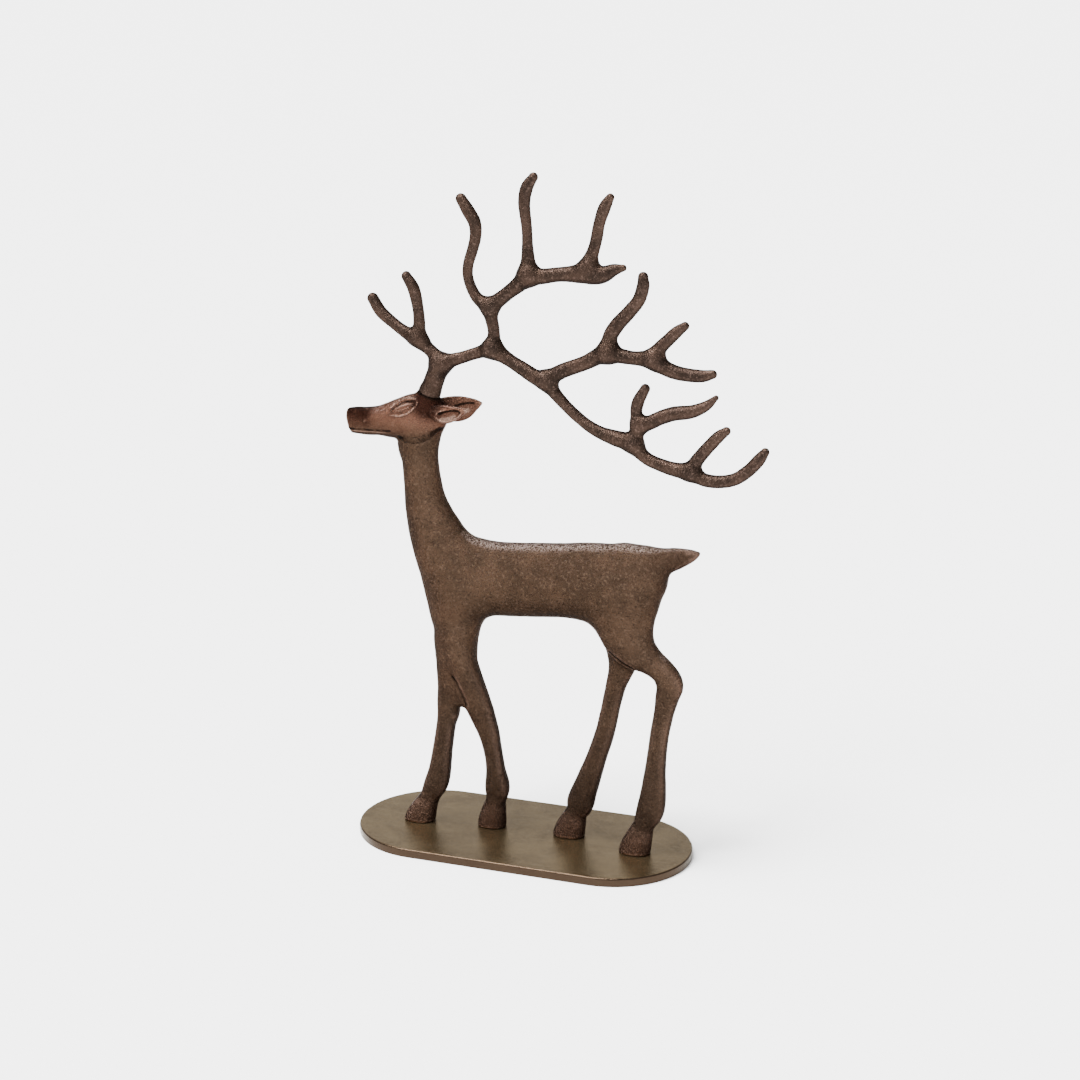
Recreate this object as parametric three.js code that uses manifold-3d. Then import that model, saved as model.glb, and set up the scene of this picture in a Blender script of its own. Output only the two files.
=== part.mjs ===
// Bronze reindeer statue: the animal and its antler are two castings, and the animal stands on a flat base plate.
// Millimetres, +Z up. The origin is the centre of the plate's underside, and the reindeer faces -X.

import * as THREE from 'three';
import { mergeVertices } from 'three/addons/utils/BufferGeometryUtils.js';
import Module from 'manifold-3d';

// Driving dimensions

const FIGURE_HEIGHT = 454.5; // from the soles to the tip of the tallest tine
const BASE_WIDTH = 110.5;
const BASE_THICKNESS = 6;
const BASE_EDGE_RADIUS = 1.2;
const BASE_END_MARGIN = 26; // plate beyond the rearmost hoof, and as much in front
const FIGURE_FORWARD = 1; // the figure stands this much forward of the plate's middle
const SOLE_CLEARANCE = 0.3;
const SEAT_CLEARANCE = 0.3; // between the crown and the antler's foot
const MOUTH_SLIT = 1.0;
const MUZZLE_CUT = 5; // depth of the block that cuts the muzzle's flat face

// Everything on the figure is given in hundredths of its height, above the top of the plate

const UNIT = FIGURE_HEIGHT / 100;
const STANCE_REACH = 20.7; // from the middle of the plate to the back of the rearmost hoof

// Number of sides of each kind of form, and the rings between two stations

const TINE_SIDES = 8;
const LEG_SIDES = 12;
const TRUNK_SIDES = 20;
const DOME_ROWS = 2;
const PLATE_END_STEPS = 16;

// Proportions that forms share

const TINE_DEPTH = 0.9; // half depth of a tine as a share of its half width
const TIP_DOME = 1.4; // length of a tine's rounded tip in half depths
const ANKLE_RISE = 0.5; // height of the antler's foot above its seat
const BOSS_DEPTH = 2; // how far the seat's boss reaches down into the crown
const BOSS_SPREAD = 1.25; // width of the boss at its foot as a share of its top

// How square a section is: 1 is an ellipse, and less has fuller corners

const TRUNK_SQUARE = 0.87;
const LEG_SQUARE = 0.8;
const TINE_SQUARE = 0.9;

// The pose. A station is [x, z, half width, half depth, y]: its place in the side view, the half width in that
// view, the half depth across the animal and the distance from its middle plane, -Y being the near side.

const TRUNK = [
  [-8.9, 41.1, 5.2, 2.8],
  [-7.2, 40.3, 5.85, 3.05],
  [-3.8, 40.2, 5.65, 3.2],
  [1.0, 40.5, 5.6, 3.3],
  [6.0, 40.95, 5.6, 3.3],
  [11.0, 41.25, 5.85, 3.3],
  [15.2, 41.45, 5.8, 3.2],
  [18.2, 42.75, 4.3, 2.8],
];

const NECK = [
  [-15.9, 62.8, 3.4, 2.3],
  [-16.35, 59.9, 3.22, 2.1],
  [-16.08, 57.5, 2.82, 2.15],
  [-15.72, 54.0, 2.86, 2.3],
  [-15.2, 50.7, 3.22, 2.5],
  [-14.3, 47.9, 3.8, 2.7],
  [-12.9, 44.6, 4.5, 2.9],
  [-11.5, 40.5, 4.65, 3.0],
  [-10.7, 37.0, 4.6, 3.0],
  [-10.0, 34.4, 4.6, 2.9],
  [-10.5, 31.0, 3.25, 2.7],
  [-10.45, 28.2, 2.75, 2.4],
];

// The soft hollow between the neck and the back
const WITHERS = [
  [-12.7, 49.4, 1.5, 2.2],
  [-11.5, 46.8, 2.0, 2.4],
  [-9.8, 45.0, 2.0, 2.6],
  [-7.3, 43.8, 1.9, 2.6],
  [-4.6, 43.4, 1.9, 2.6],
];

const FORELEG_FORWARD = [
  [-11.7, 30.0, 2.1, 2.4, 0.1],
  [-11.75, 27.0, 2.0, 2.2, 0.15],
  [-11.85, 24.5, 1.87, 1.95, 0.25],
  [-11.95, 22.0, 1.78, 1.75, 0.35],
  [-12.1, 19.8, 1.74, 1.62, 0.4],
  [-12.15, 18.0, 1.7, 1.52, 0.35],
  [-12.5, 15.9, 1.44, 1.42, 0.2],
  [-13.1, 11.8, 1.5, 1.4, 0.0],
  [-13.5, 8.5, 1.73, 1.5, -0.2],
  [-14.05, 6.3, 1.85, 1.6, -0.35],
  [-14.9, 4.6, 1.5, 1.45, -0.45],
];

const FORELEG_BACK = [
  [-9.7, 31.0, 2.1, 2.3, -0.5],
  [-9.1, 27.0, 1.95, 2.0, -0.8],
  [-7.95, 23.3, 2.08, 1.7, -0.85],
  [-6.85, 20.1, 2.03, 1.6, -0.6],
  [-6.15, 18.2, 1.87, 1.5, -0.45],
  [-5.27, 15.5, 1.55, 1.4, -0.25],
  [-4.7, 12.4, 1.36, 1.3, 0.0],
  [-4.4, 9.6, 1.45, 1.4, 0.2],
  [-4.25, 6.9, 1.87, 1.6, 0.45],
  [-4.35, 5.5, 1.7, 1.5, 0.6],
];

// Closes the top of the gap between the forelegs
const FORELEG_WEB = [
  [-10.3, 26.0, 1.8, 1.5, -0.2],
  [-9.75, 20.35, 1.0, 1.1, -0.15],
];

const HINDLEG_FORWARD = [
  [14.6, 36.9, 5.0, 2.0, 0.7],
  [15.2, 34.4, 4.1, 1.9, 0.85],
  [15.4, 32.2, 2.85, 1.8, 0.95],
  [15.45, 28.8, 2.1, 1.65, 1.1],
  [14.5, 25.4, 1.52, 1.5, 1.15],
  [13.75, 22.0, 1.42, 1.4, 1.2],
  [12.75, 17.4, 1.44, 1.45, 1.2],
  [11.55, 13.6, 1.52, 1.5, 1.25],
  [10.4, 10.2, 1.76, 1.65, 1.3],
  [9.5, 7.6, 1.95, 1.7, 1.35],
  [9.0, 5.9, 2.1, 1.7, 1.35],
  [8.8, 5.0, 1.9, 1.6, 1.4],
];

const HINDLEG_BACK = [
  [16.0, 40.0, 5.3, 2.5, -0.3],
  [16.25, 35.4, 4.35, 2.3, -0.6],
  [17.6, 32.4, 3.35, 2.1, -0.85],
  [20.0, 30.65, 2.15, 1.9, -1.0],
  [22.25, 29.1, 1.77, 1.8, -1.1],
  [23.42, 27.2, 1.98, 1.7, -1.15],
  [23.1, 25.2, 1.75, 1.6, -1.2],
  [22.6, 22.5, 1.48, 1.4, -1.2],
  [21.95, 18.7, 1.4, 1.35, -1.2],
  [21.5, 14.4, 1.51, 1.4, -1.2],
  [21.2, 10.1, 1.88, 1.6, -1.2],
  [20.8, 7.2, 2.1, 1.7, -1.2],
  [20.15, 5.5, 1.75, 1.55, -1.2],
];

// Hooves, from the pastern to the sole
const HOOVES = [
  [
    [-14.9, 4.2, 1.4, 1.35, -0.4],
    [-15.7, 2.8, 1.75, 1.6, -0.5],
    [-16.5, 0.9, 2.2, 1.85, -0.6],
    [-16.9, -0.6, 2.45, 1.95, -0.65],
  ],
  [
    [-4.6, 4.3, 1.5, 1.45, 0.6],
    [-4.95, 2.6, 1.85, 1.65, 0.75],
    [-5.3, 0.8, 2.15, 1.85, 0.9],
    [-5.4, -0.6, 2.2, 1.9, 0.95],
  ],
  [
    [8.1, 3.7, 1.65, 1.5, 1.4],
    [7.7, 2.3, 2.0, 1.7, 1.4],
    [7.2, 0.7, 2.35, 1.85, 1.45],
    [7.0, -0.6, 2.5, 1.95, 1.45],
  ],
  [
    [19.7, 4.4, 1.55, 1.45, -1.2],
    [19.2, 2.9, 1.9, 1.65, -1.2],
    [18.6, 0.9, 2.3, 1.85, -1.2],
    [18.3, -0.6, 2.45, 1.95, -1.2],
  ],
];

const HEAD = [
  [-14.1, 64.6, 2.2, 1.9],
  [-15.1, 64.2, 3.35, 2.35],
  [-16.9, 63.85, 3.45, 2.6],
  [-18.6, 63.5, 3.12, 2.5],
  [-20.4, 63.2, 2.68, 2.25],
  [-22.4, 62.95, 2.25, 1.95],
  [-24.6, 62.72, 2.1, 1.75],
  [-26.3, 62.7, 2.0, 1.65],
  [-28.6, 62.75, 1.85, 1.55],
];

// The back of the thighs, up to the root of the tail
const RUMP = [
  [19.9, 45.0, 3.1, 1.9],
  [19.3, 42.4, 2.85, 2.4],
  [18.9, 39.8, 2.8, 2.4],
  [18.0, 36.6, 2.75, 2.3],
  [17.6, 34.2, 2.8, 2.1],
];

// The muzzle ends in a flat face, from its upper corner to its lower one
const MUZZLE_FACE = [
  [-27.8, 64.6],
  [-27.2, 61.7],
];

const TAIL = [
  [16.4, 44.9, 2.3, 2.1],
  [18.8, 45.1, 2.1, 1.9],
  [22.2, 45.6, 1.85, 1.5],
  [24.2, 46.15, 1.5, 1.1],
  [25.9, 46.65, 0.95, 0.75],
  [27.0, 47.05, 0.35, 0.4],
];

// The ears are pointed leaves that stand out from the head, and their hollows face outwards

const EAR = [
  [-12.9, 65.1, 1.0, 0.9, 1.7],
  [-11.3, 65.1, 1.4, 0.85, 2.35],
  [-10.0, 65.35, 1.2, 0.75, 2.7],
  [-8.8, 65.7, 0.8, 0.55, 2.95],
  [-7.5, 66.1, 0.25, 0.3, 3.1],
];

const FAR_EAR = [
  [-12.7, 65.1, 1.7, 0.9, 1.7],
  [-11.3, 65.0, 1.95, 0.85, 2.35],
  [-10.1, 65.2, 1.7, 0.75, 2.7],
  [-8.8, 65.65, 1.0, 0.55, 2.95],
  [-7.6, 65.95, 0.25, 0.3, 3.1],
];

const EAR_HOLLOW = [
  [-11.6, 64.9, 0.5, 0.35, 3.05],
  [-10.6, 64.95, 0.75, 0.4, 3.3],
  [-9.4, 65.35, 0.6, 0.4, 3.45],
  [-8.4, 65.75, 0.2, 0.25, 3.5],
];

// A raised almond with a fine slit along it
const EYE = [
  [-20.3, 64.75, 0.2, 0.25, 2.1],
  [-19.1, 65.35, 0.85, 0.45, 2.3],
  [-17.5, 65.95, 1.0, 0.5, 2.35],
  [-15.6, 66.6, 0.2, 0.25, 2.25],
];

const EYE_SLIT = [
  [-19.2, 65.25, 0.12, 0.35, 2.9],
  [-17.9, 65.85, 0.16, 0.35, 3.0],
  [-16.5, 66.3, 0.12, 0.35, 2.9],
];

const MOUTH = [
  [-28.2, 61.25, 0.5, 2.0],
  [-26.4, 61.15, 0.5, 2.0],
  [-24.4, 61.35, 0.4, 2.0],
];

// The antler's foot stands square on the crown's seat, so both take their place from these values

const SEAT = { x: -14.5, z: 67.5, halfWidth: 1.7, halfDepth: 1.55 };
const STEM_LEAN = [0.36, 0.93];

const STEM = [
  [-13.92, 68.94, 1.54],
  [-13.32, 70.44, 1.49],
  [-12.62, 72.04, 1.49],
];

const BEAMS = {
  front_beam: [
    [-12.62, 71.94, 1.34],
    [-13.62, 73.44, 1.0],
    [-15.08, 74.72, 0.92],
    [-16.12, 75.7, 1.1],
  ],
  beam: [
    [-12.72, 72.14, 1.34],
    [-10.22, 72.94, 0.96],
    [-7.32, 73.94, 0.88],
    [-4.42, 74.94, 1.1],
  ],
  up_beam: [
    [-4.5, 74.7, 1.1],
    [-4.22, 77.24, 0.9],
    [-4.62, 79.44, 0.96],
    [-4.75, 80.95, 1.1],
  ],
  up_right: [
    [-4.82, 80.9, 1.18],
    [-2.22, 82.94, 1.03],
    [-0.22, 84.54, 1.19],
    [1.08, 85.84, 1.39],
  ],
  top_beam: [
    [0.98, 85.84, 1.34],
    [3.08, 85.74, 1.14],
    [5.78, 86.14, 1.05],
    [8.28, 86.44, 1.24],
    [10.38, 87.44, 1.24],
  ],
  mid_beam: [
    [-4.52, 74.94, 1.39],
    [-2.02, 73.44, 0.99],
    [0.18, 72.24, 1.04],
    [2.32, 71.05, 1.12],
    [4.0, 70.75, 1.24],
  ],
  rear_up: [
    [3.98, 70.94, 1.24],
    [6.38, 72.34, 1.09],
    [9.58, 73.64, 1.07],
    [11.78, 74.84, 1.24],
    [13.08, 75.44, 1.39],
  ],
  rear_beam: [
    [13.08, 75.44, 1.34],
    [15.08, 75.04, 1.08],
    [17.38, 74.84, 1.03],
    [19.98, 74.94, 1.34],
  ],
  low_beam: [
    [3.7, 70.7, 1.25],
    [5.05, 69.1, 0.95],
    [7.0, 67.12, 0.82],
    [9.6, 65.02, 0.83],
    [11.98, 63.74, 0.93],
    [14.85, 62.95, 1.2],
    [17.18, 62.5, 1.3],
  ],
  low_fork: [
    [16.8, 62.6, 1.2],
    [17.6, 64.24, 1.0],
    [17.8, 65.3, 1.05],
  ],
  end_beam: [
    [17.0, 62.4, 1.15],
    [19.05, 60.5, 0.93],
    [21.98, 59.44, 0.98],
    [24.48, 59.04, 1.14],
    [25.7, 58.9, 1.12],
  ],
};

const TINES = {
  brow_low: [
    [-15.6, 75.3, 1.1],
    [-17.52, 76.14, 0.97],
    [-19.62, 77.44, 0.83],
    [-21.92, 79.24, 0.89],
    [-23.15, 81.05, 0.84],
  ],
  brow_high: [
    [-16.35, 76.0, 1.15],
    [-15.9, 77.74, 0.9],
    [-16.12, 80.44, 0.84],
    [-16.72, 82.94, 0.92],
    [-17.75, 84.6, 0.74],
  ],
  left_tine: [
    [-4.9, 80.9, 1.05],
    [-6.92, 82.3, 0.83],
    [-8.08, 84.74, 0.77],
    [-8.12, 86.84, 0.78],
    [-7.42, 89.04, 0.82],
    [-6.92, 91.14, 0.86],
    [-7.12, 93.04, 0.94],
    [-8.1, 94.64, 0.94],
    [-9.05, 96.12, 0.78],
  ],
  mid_tine: [
    [1.18, 85.64, 1.39],
    [1.08, 87.44, 1.09],
    [0.98, 89.84, 0.83],
    [0.86, 92.54, 0.77],
    [0.48, 95.94, 0.88],
    [0.85, 98.1, 0.92],
    [1.78, 99.55, 0.68],
  ],
  right_tine: [
    [9.9, 87.3, 1.2],
    [10.78, 89.64, 0.9],
    [11.28, 91.44, 0.86],
    [11.68, 93.64, 0.84],
    [12.38, 95.74, 0.9],
    [13.18, 97.14, 0.6],
  ],
  leaf_tine: [
    [8.9, 86.1, 0.85],
    [10.6, 86.15, 1.2],
    [12.2, 86.4, 1.2],
    [13.8, 87.15, 0.88],
    [15.15, 87.5, 0.5],
  ],
  rear_tall: [
    [13.18, 75.24, 1.34],
    [13.38, 77.54, 1.08],
    [14.38, 79.34, 1.06],
    [16.18, 81.34, 1.0],
    [17.58, 83.14, 0.94],
    [18.18, 85.04, 0.92],
    [18.18, 86.24, 0.76],
  ],
  rear_short: [
    [19.88, 74.74, 1.24],
    [20.58, 76.24, 1.02],
    [21.88, 77.64, 0.91],
    [23.18, 78.94, 0.84],
    [24.28, 79.79, 0.62],
  ],
  rear_flat: [
    [20.08, 74.94, 1.24],
    [20.98, 74.04, 1.14],
    [22.98, 73.24, 1.02],
    [25.08, 72.94, 0.97],
    [27.08, 72.94, 0.88],
    [28.38, 73.24, 0.66],
  ],
  low_up: [
    [17.8, 65.2, 1.0],
    [17.42, 67.04, 0.88],
    [17.7, 68.64, 0.88],
    [18.62, 70.45, 0.72],
  ],
  low_blade: [
    [17.8, 65.1, 1.0],
    [19.28, 65.6, 1.05],
    [21.18, 66.6, 1.04],
    [23.18, 67.32, 1.04],
    [25.58, 67.74, 0.96],
    [27.68, 68.74, 0.74],
    [29.05, 69.95, 0.39],
  ],
  end_up: [
    [25.5, 59.0, 1.15],
    [26.58, 60.84, 0.97],
    [27.98, 62.64, 0.91],
    [29.48, 64.34, 0.86],
    [30.58, 65.24, 0.64],
  ],
  end_tip: [
    [26.0, 58.8, 1.0],
    [27.68, 58.04, 0.97],
    [29.98, 57.94, 0.93],
    [32.18, 58.54, 0.91],
    [34.08, 59.94, 0.92],
    [35.48, 61.54, 0.9],
    [36.28, 62.64, 0.62],
  ],
};

const wasm = await Module();
wasm.setup();

// Turns a closed three.js geometry into a solid that can be joined and cut
function solidOf(geometry) {
  geometry.deleteAttribute('normal');
  geometry.deleteAttribute('uv');
  const merged = mergeVertices(geometry);
  return new wasm.Manifold(new wasm.Mesh({
    numProp: 3,
    vertProperties: new Float32Array(merged.attributes.position.array),
    triVerts: new Uint32Array(merged.index.array),
  }));
}

// Turns a solid back into a geometry with flat faces
function geometryOf(solid) {
  const mesh = solid.getMesh();
  const geometry = new THREE.BufferGeometry();
  geometry.setAttribute('position', new THREE.BufferAttribute(new Float32Array(mesh.vertProperties), 3));
  geometry.setIndex(new THREE.BufferAttribute(new Uint32Array(mesh.triVerts), 1));
  return geometry;
}

function joined(solids) {
  return solids.reduce((whole, solid) => whole.add(solid));
}

// A ball drawn out along a smooth line through the stations, with a rounded or flat end on each side
function limb(stations, { sides = TINE_SIDES, steps = 1, startDome = 1, endDome = 1, side = 1, boxy = 1 } = {}) {
  const centres = [];
  const sizes = [];
  for (const [x, z, halfWidth, halfDepth = halfWidth * TINE_DEPTH, y = 0] of stations) {
    centres.push(new THREE.Vector3(x, y * side, z));
    sizes.push(new THREE.Vector3(halfWidth, halfDepth, 0));
  }
  const line = new THREE.CatmullRomCurve3(centres, false, 'catmullrom');
  const girth = new THREE.CatmullRomCurve3(sizes, false, 'catmullrom');
  const bodyRows = (stations.length - 1) * steps;
  const rows = bodyRows + 2 * DOME_ROWS;
  const ball = new THREE.SphereGeometry(1, sides, rows);
  const position = ball.attributes.position;
  for (let i = 0; i < position.count; i += 1) {
    const row = Math.round(Math.acos(THREE.MathUtils.clamp(position.getY(i), -1, 1)) / Math.PI * rows);
    const reach = Math.hypot(position.getX(i), position.getZ(i)) || 1;
    const across = position.getX(i) / reach;
    const along = position.getZ(i) / reach;
    const t = THREE.MathUtils.clamp((row - DOME_ROWS) / bodyRows, 0, 1);
    const fromEnd = Math.min(row, rows - row, DOME_ROWS) / DOME_ROWS * Math.PI / 2;
    const dome = row < DOME_ROWS ? -startDome : endDome;
    const centre = line.getPoint(t);
    const size = girth.getPoint(t);
    const tangent = line.getTangent(t).setY(0).normalize();
    const bulge = Math.cos(fromEnd) * dome * Math.min(size.x, size.y);
    const share = Math.sin(fromEnd);
    const wide = Math.sign(across) * Math.abs(across) ** boxy * size.x * share;
    const deep = Math.sign(along) * Math.abs(along) ** boxy * size.y * share;
    position.setXYZ(
      i,
      (centre.x + tangent.x * bulge + tangent.z * wide) * UNIT,
      (centre.y + deep) * UNIT,
      (centre.z + tangent.z * bulge - tangent.x * wide) * UNIT,
    );
  }
  return solidOf(ball);
}

// A block whose one face runs through the muzzle's two corners, and which removes what is in front of it
function muzzleFace() {
  const [[upperX, upperZ], [lowerX, lowerZ]] = MUZZLE_FACE;
  const size = MUZZLE_CUT * UNIT;
  const block = new THREE.BoxGeometry(size, size, size * 2);
  block.translate(-size / 2, 0, 0);
  block.rotateY(Math.atan2(upperX - lowerX, upperZ - lowerZ));
  block.translate((upperX + lowerX) / 2 * UNIT, 0, (upperZ + lowerZ) / 2 * UNIT);
  return solidOf(block);
}

// A block that removes everything below the soles
function ground() {
  const size = FIGURE_HEIGHT;
  const block = new THREE.BoxGeometry(size, size, size);
  block.translate(0, 0, SOLE_CLEARANCE - size / 2);
  return solidOf(block);
}

// The base plate: straight long sides and half-round ends
function basePlate() {
  const length = 2 * (STANCE_REACH * UNIT + BASE_END_MARGIN);
  const radius = BASE_WIDTH / 2 - BASE_EDGE_RADIUS;
  const straight = length / 2 - BASE_WIDTH / 2;
  const outline = new THREE.Shape();
  outline.absarc(straight, 0, radius, -Math.PI / 2, Math.PI / 2, false);
  outline.absarc(-straight, 0, radius, Math.PI / 2, 3 * Math.PI / 2, false);
  const geometry = new THREE.ExtrudeGeometry(outline, {
    depth: BASE_THICKNESS - 2 * BASE_EDGE_RADIUS,
    curveSegments: PLATE_END_STEPS,
    bevelThickness: BASE_EDGE_RADIUS,
    bevelSize: BASE_EDGE_RADIUS,
    bevelSegments: 1,
  });
  geometry.translate(0, 0, BASE_EDGE_RADIUS);
  return solidOf(geometry);
}

// One ear, with the hollow that its rim leaves
function ear(stations, side) {
  return limb(stations, { sides: LEG_SIDES, side }).subtract(limb(EAR_HOLLOW, { side }));
}

function eye(side) {
  return limb(EYE, { side }).subtract(limb(EYE_SLIT, { side }));
}

// The boss on the crown that the antler stands on, flat across the stem's own direction
function seatBoss() {
  const [leanX, leanZ] = STEM_LEAN;
  const drop = SEAT_CLEARANCE / UNIT;
  const top = [SEAT.x - leanX * drop, SEAT.z - leanZ * drop];
  const foot = [top[0] - leanX * BOSS_DEPTH, top[1] - leanZ * BOSS_DEPTH];
  return limb(
    [
      [...foot, SEAT.halfWidth * BOSS_SPREAD, SEAT.halfDepth * BOSS_SPREAD],
      [...top, SEAT.halfWidth, SEAT.halfDepth],
    ],
    { sides: LEG_SIDES, endDome: 0 },
  );
}

function reindeer() {
  const forms = [
    limb(TRUNK, { sides: TRUNK_SIDES, boxy: TRUNK_SQUARE }),
    limb(NECK, { sides: TRUNK_SIDES }),
    limb(WITHERS, { sides: LEG_SIDES }),
    limb(RUMP, { sides: LEG_SIDES }),
    limb(HEAD, { sides: TRUNK_SIDES, boxy: TRUNK_SQUARE }).subtract(muzzleFace()),
    limb(TAIL, { sides: LEG_SIDES }),
    limb(FORELEG_WEB, { sides: LEG_SIDES }),
    seatBoss(),
    ear(EAR, -1),
    ear(FAR_EAR, 1),
    eye(-1),
    eye(1),
  ];
  for (const leg of [FORELEG_FORWARD, FORELEG_BACK, HINDLEG_FORWARD, HINDLEG_BACK, ...HOOVES]) {
    forms.push(limb(leg, { sides: LEG_SIDES, boxy: LEG_SQUARE }));
  }
  const mouth = limb(
    MOUTH.map(([x, z, share, halfDepth]) => [x, z, share * MOUTH_SLIT / UNIT, halfDepth]),
    { startDome: 0 },
  );
  return joined(forms).subtract(mouth).subtract(ground());
}

function antler() {
  const [leanX, leanZ] = STEM_LEAN;
  const foot = [SEAT.x, SEAT.z, SEAT.halfWidth, SEAT.halfDepth];
  const ankle = [SEAT.x + leanX * ANKLE_RISE, SEAT.z + leanZ * ANKLE_RISE, SEAT.halfWidth, SEAT.halfDepth];
  return joined([
    limb([foot, ankle, ...STEM], { startDome: 0 }),
    ...Object.values(BEAMS).map((beam) => limb(beam, { boxy: TINE_SQUARE })),
    ...Object.values(TINES).map((tine) => limb(tine, { endDome: TIP_DOME, boxy: TINE_SQUARE })),
  ]);
}

// Cast bronze in three shades of patina

const bodyBronze = new THREE.MeshStandardMaterial({ color: 0x4e3b31, roughness: 0.5, metalness: 0.8 });
const antlerBronze = new THREE.MeshStandardMaterial({ color: 0x3b2c28, roughness: 0.38, metalness: 0.85 });
const plateBronze = new THREE.MeshStandardMaterial({ color: 0x5a4c3c, roughness: 0.42, metalness: 0.8 });

function piece(name, solid, material) {
  const mesh = new THREE.Mesh(geometryOf(solid), material);
  mesh.name = name;
  return mesh;
}

const statue = new THREE.Group();
statue.add(piece('base_plate', basePlate(), plateBronze));

const figure = new THREE.Group();
figure.position.set(-FIGURE_FORWARD, 0, BASE_THICKNESS);
figure.add(piece('reindeer', reindeer(), bodyBronze));
figure.add(piece('antler', antler(), antlerBronze));
statue.add(figure);

export default statue;
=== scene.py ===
# The looks of the bronze reindeer statue. Each casting is worked out as one smooth solid form, with the soft
# fillets and grain of sand-cast bronze, and meshed finely around the frame.

import math

import bmesh
import bpy
import numpy as np
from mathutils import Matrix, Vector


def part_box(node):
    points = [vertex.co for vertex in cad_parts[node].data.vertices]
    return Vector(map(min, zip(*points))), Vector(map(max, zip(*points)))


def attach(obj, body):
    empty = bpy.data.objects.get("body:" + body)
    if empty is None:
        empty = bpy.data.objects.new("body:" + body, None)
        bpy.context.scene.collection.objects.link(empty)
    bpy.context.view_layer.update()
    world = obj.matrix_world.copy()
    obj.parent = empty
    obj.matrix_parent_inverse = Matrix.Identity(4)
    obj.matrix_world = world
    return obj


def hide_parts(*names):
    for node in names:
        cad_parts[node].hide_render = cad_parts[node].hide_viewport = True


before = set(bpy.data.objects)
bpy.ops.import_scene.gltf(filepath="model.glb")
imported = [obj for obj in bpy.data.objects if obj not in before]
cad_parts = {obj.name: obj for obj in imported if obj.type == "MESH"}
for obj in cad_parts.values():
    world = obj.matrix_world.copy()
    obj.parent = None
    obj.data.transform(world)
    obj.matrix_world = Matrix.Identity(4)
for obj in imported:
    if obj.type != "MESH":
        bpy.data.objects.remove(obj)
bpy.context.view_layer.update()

import openvdb
from mathutils import Matrix, Vector, noise

# Sizes, in millimetres

FIGURE_HEIGHT = 454.5
UNIT = FIGURE_HEIGHT / 100
FIGURE_FORWARD = 1.0
PLATE_LOW, PLATE_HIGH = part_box("base_plate")
PLATE_TOP = PLATE_HIGH.z * 1000
SOLE_GAP = 0.05
METRE = 0.001

# Grid steps of the fine meshes

ANTLER_STEP = 0.72
BODY_STEP = 1.22
HEAD_STEP = 0.36

# The pose, in hundredths of the figure's height above the plate. A station is
# (x, z, half width, half depth, y), as in the side view of the statue.

TRUNK = [
    (-8.9, 41.1, 5.2, 2.8),
    (-7.2, 40.3, 5.85, 3.05),
    (-3.8, 40.2, 5.65, 3.2),
    (1.0, 40.5, 5.6, 3.3),
    (6.0, 40.95, 5.6, 3.3),
    (11.0, 41.25, 5.85, 3.3),
    (15.2, 41.45, 5.8, 3.2),
    (18.2, 42.75, 4.3, 2.8),
]

NECK = [
    (-15.9, 62.8, 3.4, 2.3),
    (-16.35, 59.9, 3.22, 2.1),
    (-16.08, 57.5, 2.82, 2.15),
    (-15.72, 54.0, 2.86, 2.3),
    (-15.2, 50.7, 3.22, 2.5),
    (-14.3, 47.9, 3.8, 2.7),
    (-12.9, 44.6, 4.5, 2.9),
    (-11.5, 40.5, 4.65, 3.0),
    (-10.7, 37.0, 4.6, 3.0),
    (-10.5, 34.0, 4.1, 2.9),
    (-10.5, 31.0, 3.25, 2.7),
    (-10.45, 28.2, 2.75, 2.4),
]

FORELEG_FORWARD = [
    (-11.7, 30.0, 2.1, 2.4, 0.1),
    (-11.75, 27.0, 2.0, 2.2, 0.15),
    (-11.85, 24.5, 1.87, 1.95, 0.25),
    (-11.95, 22.0, 1.78, 1.75, 0.35),
    (-12.1, 19.8, 1.74, 1.62, 0.4),
    (-12.15, 18.0, 1.7, 1.52, 0.35),
    (-12.5, 15.9, 1.44, 1.42, 0.2),
    (-13.1, 11.8, 1.5, 1.4, 0.0),
    (-13.5, 8.5, 1.73, 1.5, -0.2),
    (-14.05, 6.3, 1.85, 1.6, -0.35),
    (-14.9, 4.6, 1.5, 1.45, -0.45),
]

FORELEG_BACK = [
    (-9.7, 31.0, 2.1, 2.3, -0.5),
    (-9.1, 27.0, 1.95, 2.0, -0.8),
    (-7.95, 23.3, 2.08, 1.7, -0.85),
    (-6.85, 20.1, 2.03, 1.6, -0.6),
    (-6.15, 18.2, 1.87, 1.5, -0.45),
    (-5.27, 15.5, 1.55, 1.4, -0.25),
    (-4.7, 12.4, 1.36, 1.3, 0.0),
    (-4.4, 9.6, 1.45, 1.4, 0.2),
    (-4.25, 6.9, 1.87, 1.6, 0.45),
    (-4.35, 5.5, 1.7, 1.5, 0.6),
]

FORELEG_WEB = [
    (-10.3, 26.0, 1.8, 1.5, -0.2),
    (-9.75, 20.35, 1.0, 1.1, -0.15),
]

HINDLEG_FORWARD = [
    (14.8, 36.4, 4.3, 2.0, 0.7),
    (15.35, 32.2, 2.7, 1.8, 0.95),
    (15.45, 28.8, 2.1, 1.65, 1.1),
    (14.5, 25.4, 1.52, 1.5, 1.15),
    (13.75, 22.0, 1.42, 1.4, 1.2),
    (12.75, 17.4, 1.44, 1.45, 1.2),
    (11.55, 13.6, 1.52, 1.5, 1.25),
    (10.4, 10.2, 1.76, 1.65, 1.3),
    (9.5, 7.6, 1.95, 1.7, 1.35),
    (9.0, 5.9, 2.1, 1.7, 1.35),
    (8.8, 5.0, 1.9, 1.6, 1.4),
]

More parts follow.
